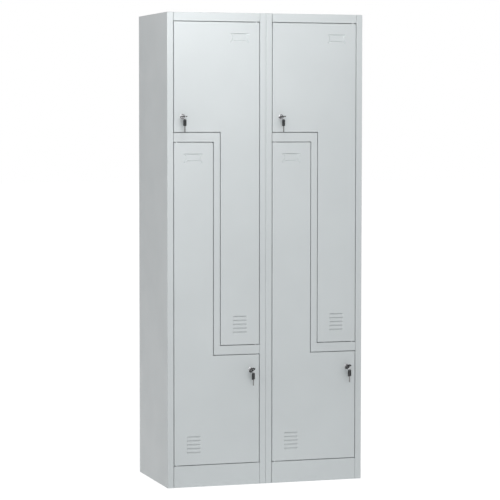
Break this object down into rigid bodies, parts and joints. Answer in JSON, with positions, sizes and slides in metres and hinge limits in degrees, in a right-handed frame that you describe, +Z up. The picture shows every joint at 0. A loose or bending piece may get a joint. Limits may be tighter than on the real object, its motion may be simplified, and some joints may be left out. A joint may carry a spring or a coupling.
{
  "type": "metal wardrobe",
  "caption": "Tall folded-steel wardrobe of two columns with interlocking Z-shaped doors, pressed louvres, card holders, cam locks and keys.",
  "frame": {"origin": "on the floor under the centre of the bounding box, whose front is set by the hanging spare keys", "axes": "+Z up, -Y out of the doors towards the user, +X to the right as seen from the front"},
  "size_m": [0.8024, 0.4706, 1.85],
  "materials": {
    "cabinet_paint": "light grey powder coat, satin",
    "door_paint": "light grey powder coat, satin",
    "lock_chrome": "polished chrome plating",
    "plated_steel": "dull zinc plating",
    "black_plastic": "black moulded head, fine grain"
  },
  "bodies": {
    "cabinet": {"left_left_side_panel": "cabinet_paint", "left_right_side_panel": "cabinet_paint", "left_top_panel": "cabinet_paint", "left_base_panel": "cabinet_paint", "left_plinth": "cabinet_paint", "left_back_panel": "cabinet_paint", "left_partition": "cabinet_paint", "left_front_frame": "cabinet_paint", "left_upper_hanging_rail": "plated_steel", "left_lower_hanging_rail": "plated_steel", "right_left_side_panel": "cabinet_paint", "right_right_side_panel": "cabinet_paint", "right_top_panel": "cabinet_paint", "right_base_panel": "cabinet_paint", "right_plinth": "cabinet_paint", "right_back_panel": "cabinet_paint", "right_partition": "cabinet_paint", "right_front_frame": "cabinet_paint", "right_upper_hanging_rail": "plated_steel", "right_lower_hanging_rail": "plated_steel", "left_upper_top_pin": "plated_steel", "left_upper_bottom_pin": "plated_steel", "left_lower_top_pin": "plated_steel", "left_lower_bottom_pin": "plated_steel", "right_upper_top_pin": "plated_steel", "right_upper_bottom_pin": "plated_steel", "right_lower_top_pin": "plated_steel", "right_lower_bottom_pin": "plated_steel"},
    "left_upper_leaf": {"left_upper_door": "door_paint", "left_upper_lock_housing": "lock_chrome", "left_upper_lock_nut": "plated_steel"},
    "left_upper_latch": {"left_upper_lock_plug": "lock_chrome", "left_upper_lock_cam": "plated_steel", "left_upper_key": "black_plastic"},
    "left_upper_spare": {"left_upper_key_ring": "plated_steel", "left_upper_spare_key": "black_plastic"},
    "left_lower_leaf": {"left_lower_door": "door_paint", "left_lower_lock_housing": "lock_chrome", "left_lower_lock_nut": "plated_steel"},
    "left_lower_latch": {"left_lower_lock_plug": "lock_chrome", "left_lower_lock_cam": "plated_steel", "left_lower_key": "black_plastic"},
    "left_lower_spare": {"left_lower_key_ring": "plated_steel", "left_lower_spare_key": "black_plastic"},
    "right_upper_leaf": {"right_upper_door": "door_paint", "right_upper_lock_housing": "lock_chrome", "right_upper_lock_nut": "plated_steel"},
    "right_upper_latch": {"right_upper_lock_plug": "lock_chrome", "right_upper_lock_cam": "plated_steel", "right_upper_key": "black_plastic"},
    "right_upper_spare": {"right_upper_key_ring": "plated_steel", "right_upper_spare_key": "black_plastic"},
    "right_lower_leaf": {"right_lower_door": "door_paint", "right_lower_lock_housing": "lock_chrome", "right_lower_lock_nut": "plated_steel"},
    "right_lower_latch": {"right_lower_lock_plug": "lock_chrome", "right_lower_lock_cam": "plated_steel", "right_lower_key": "black_plastic"},
    "right_lower_spare": {"right_lower_key_ring": "plated_steel", "right_lower_spare_key": "black_plastic"}
  },
  "joints": [
    {"name": "left_upper_door_hinge", "type": "hinge", "parent": "cabinet", "child": "left_upper_leaf", "pos_m": [-0.0393, -0.18474, 1], "axis": [0, 0, 1], "range_deg": [0, 100]},
    {"name": "left_upper_lock_turn", "type": "hinge", "parent": "left_upper_leaf", "child": "left_upper_latch", "pos_m": [-0.3398, -0.19174, 1.4468], "axis": [0, 1, 0], "range_deg": [0, 95]},
    {"name": "left_upper_ring_swing", "type": "hinge", "parent": "left_upper_latch", "child": "left_upper_spare", "pos_m": [-0.3398, -0.21824, 1.4468], "axis": [0, 1, 0], "range_deg": [-32, 22]},
    {"name": "left_lower_door_hinge", "type": "hinge", "parent": "cabinet", "child": "left_lower_leaf", "pos_m": [-0.3621, -0.18474, 1], "axis": [0, 0, -1], "range_deg": [0, 110]},
    {"name": "left_lower_lock_turn", "type": "hinge", "parent": "left_lower_leaf", "child": "left_lower_latch", "pos_m": [-0.0616, -0.19174, 0.4541], "axis": [0, -1, 0], "range_deg": [-38, 52]},
    {"name": "left_lower_ring_swing", "type": "hinge", "parent": "left_lower_latch", "child": "left_lower_spare", "pos_m": [-0.0616, -0.21824, 0.4541], "axis": [0, 1, 0], "range_deg": [-64, 1]},
    {"name": "right_upper_door_hinge", "type": "hinge", "parent": "cabinet", "child": "right_upper_leaf", "pos_m": [0.3621, -0.18474, 1], "axis": [0, 0, 1], "range_deg": [0, 110]},
    {"name": "right_upper_lock_turn", "type": "hinge", "parent": "right_upper_leaf", "child": "right_upper_latch", "pos_m": [0.0616, -0.19174, 1.4468], "axis": [0, 1, 0], "range_deg": [0, 102]},
    {"name": "right_upper_ring_swing", "type": "hinge", "parent": "right_upper_latch", "child": "right_upper_spare", "pos_m": [0.0616, -0.21824, 1.4468], "axis": [0, 1, 0], "range_deg": [-36, 14]},
    {"name": "right_lower_door_hinge", "type": "hinge", "parent": "cabinet", "child": "right_lower_leaf", "pos_m": [0.0393, -0.18474, 1], "axis": [0, 0, -1], "range_deg": [0, 100]},
    {"name": "right_lower_lock_turn", "type": "hinge", "parent": "right_lower_leaf", "child": "right_lower_latch", "pos_m": [0.3398, -0.19174, 0.4541], "axis": [0, -1, 0], "range_deg": [-38, 52]},
    {"name": "right_lower_ring_swing", "type": "hinge", "parent": "right_lower_latch", "child": "right_lower_spare", "pos_m": [0.3398, -0.21824, 0.4541], "axis": [0, 1, 0], "range_deg": [-64, 1]}
  ]
}
